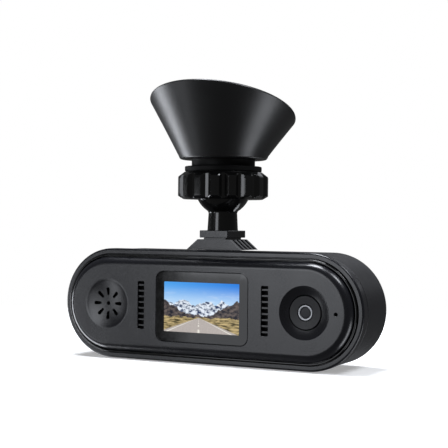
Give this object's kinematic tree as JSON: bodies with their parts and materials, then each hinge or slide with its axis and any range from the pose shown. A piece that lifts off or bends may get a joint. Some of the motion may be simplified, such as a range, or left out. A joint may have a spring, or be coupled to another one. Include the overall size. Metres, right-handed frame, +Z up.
{
  "type": "dash camera",
  "caption": "Pill-shaped in-car camera with a screen, cabin and road lenses, hung from a ball-jointed suction mount with a knurled clamp nut.",
  "frame": {"origin": "middle of the overall box at the underside of the case, on the mount's axis", "axes": "+X along the case towards the cabin lens, -Y out of the screen towards the cabin, +Z up along the mount's axis"},
  "size_m": [0.121, 0.0536, 0.1011],
  "materials": {
    "satin_grey": "satin moulded",
    "gloss_black": "polished moulded",
    "shell_black": "fine grained moulded",
    "dome_black": "satin moulded",
    "rubber_black": "matte",
    "soft_button": "matte",
    "screen_glass": "gloss, tinted",
    "lcd_picture": "lit picture",
    "lens_glass": "coated optical",
    "lens_ring": "turned",
    "bright_metal": "bright",
    "steel": "plain",
    "board": "solder mask",
    "chip_black": "matte",
    "mesh_black": "acoustic mesh",
    "nylon": "natural nylon"
  },
  "bodies": {
    "camera": {"front_panel": "satin_grey", "trim_ring": "gloss_black", "bezel_frame": "satin_grey", "rear_shell": "shell_black", "display_window": "screen_glass", "lcd_cell": "lcd_picture", "lcd_frame": "steel", "speaker_basket": "steel", "speaker_cone": "chip_black", "vent_mesh_left": "mesh_black", "vent_mesh_right": "mesh_black", "microphone": "steel", "cabin_lens_barrel": "satin_grey", "cabin_lens_ring": "lens_ring", "cabin_lens_glass": "lens_glass", "cabin_sensor_board": "board", "main_board": "board", "processor": "chip_black", "heatsink": "bright_metal", "backup_capacitor_1": "bright_metal", "backup_capacitor_2": "bright_metal", "card_socket": "steel", "usb_socket": "bright_metal", "button_board": "board", "road_lens_housing": "gloss_black", "road_lens_barrel": "shell_black", "road_lens_glass": "lens_glass", "road_sensor_board": "board", "mount_rail": "shell_black", "case_screw_1": "steel", "case_screw_2": "steel", "case_screw_3": "steel", "case_screw_4": "steel", "rail_screw_1": "steel", "rail_screw_2": "steel"},
    "mount_arm": {"mount_shoe": "satin_grey", "ball_stem": "gloss_black", "shoe_screw_1": "steel", "shoe_screw_2": "steel"},
    "ball_tilt_seat": {"ball_liner": "nylon"},
    "ball_roll_seat": {"pressure_cup": "steel"},
    "suction_head": {"ball_socket": "gloss_black", "suction_housing": "dome_black", "clamp_disc": "steel", "socket_screw_1": "steel", "socket_screw_2": "steel", "guide_plate": "shell_black", "lever_pin": "steel"},
    "clamp_ring": {"clamp_ring": "nylon"},
    "clamp_nut": {"clamp_nut": "gloss_black"},
    "vacuum_plunger": {"plunger": "nylon", "suction_membrane": "rubber_black"},
    "lock_lever": {"lock_lever": "dome_black"},
    "memory_card": {"memory_card": "chip_black"},
    "button_1": {"button_1": "soft_button"},
    "button_2": {"button_2": "soft_button"},
    "button_3": {"button_3": "soft_button"},
    "button_4": {"button_4": "soft_button"},
    "button_5": {"button_5": "soft_button"}
  },
  "joints": [
    {"name": "rail_slide", "type": "slide", "parent": "camera", "child": "mount_arm", "axis": [0, -1, 0], "range_m": [0, 0.013]},
    {"name": "ball_pitch", "type": "hinge", "parent": "mount_arm", "child": "ball_tilt_seat", "pos_m": [0, 0, 0.06405], "axis": [1, 0, 0], "range_deg": [-22, 22]},
    {"name": "ball_roll", "type": "hinge", "parent": "ball_tilt_seat", "child": "ball_roll_seat", "pos_m": [0, 0, 0.06405], "axis": [0, 1, 0], "range_deg": [-22, 22]},
    {"name": "ball_swivel", "type": "hinge", "parent": "ball_roll_seat", "child": "suction_head", "pos_m": [0, 0, 0.06405], "axis": [0, 0, 1], "continuous": true},
    {"name": "ring_draw", "type": "slide", "parent": "suction_head", "child": "clamp_ring", "axis": [0, 0, -1], "range_m": [0, 0.0015]},
    {"name": "nut_turn", "type": "hinge", "parent": "clamp_ring", "child": "clamp_nut", "pos_m": [0, 0, 0.0646], "axis": [0, 0, -1], "range_deg": [0, 360]},
    {"name": "plunger_slide", "type": "slide", "parent": "suction_head", "child": "vacuum_plunger", "axis": [0, 0.3007, 0.9537], "range_m": [0, 0.0018]},
    {"name": "lever_swing", "type": "hinge", "parent": "suction_head", "child": "lock_lever", "pos_m": [0, 0.01254, 0.08244], "axis": [-1, 0, 0], "range_deg": [0, 27]},
    {"name": "card_slide", "type": "slide", "parent": "camera", "child": "memory_card", "axis": [-1, 0, 0], "range_m": [0, 0.011]},
    {"name": "button_1_press", "type": "slide", "parent": "camera", "child": "button_1", "axis": [0, 0, 1], "range_m": [0, 0.0004], "stiffness_N_per_m": 800, "springref_m": -0.001},
    {"name": "button_2_press", "type": "slide", "parent": "camera", "child": "button_2", "axis": [0, 0, 1], "range_m": [0, 0.0004], "stiffness_N_per_m": 800, "springref_m": -0.001},
    {"name": "button_3_press", "type": "slide", "parent": "camera", "child": "button_3", "axis": [0, 0, 1], "range_m": [0, 0.0004], "stiffness_N_per_m": 800, "springref_m": -0.001},
    {"name": "button_4_press", "type": "slide", "parent": "camera", "child": "button_4", "axis": [0, 0, 1], "range_m": [0, 0.0004], "stiffness_N_per_m": 800, "springref_m": -0.001},
    {"name": "button_5_press", "type": "slide", "parent": "camera", "child": "button_5", "axis": [0, 0, 1], "range_m": [0, 0.0004], "stiffness_N_per_m": 800, "springref_m": -0.001}
  ],
  "couplings": [
    {"joint": "ring_draw", "follows": "nut_turn", "m_per_rad": 0.000238},
    {"joint": "lever_swing", "follows": "plunger_slide", "rad_per_m": 261.7}
  ]
}
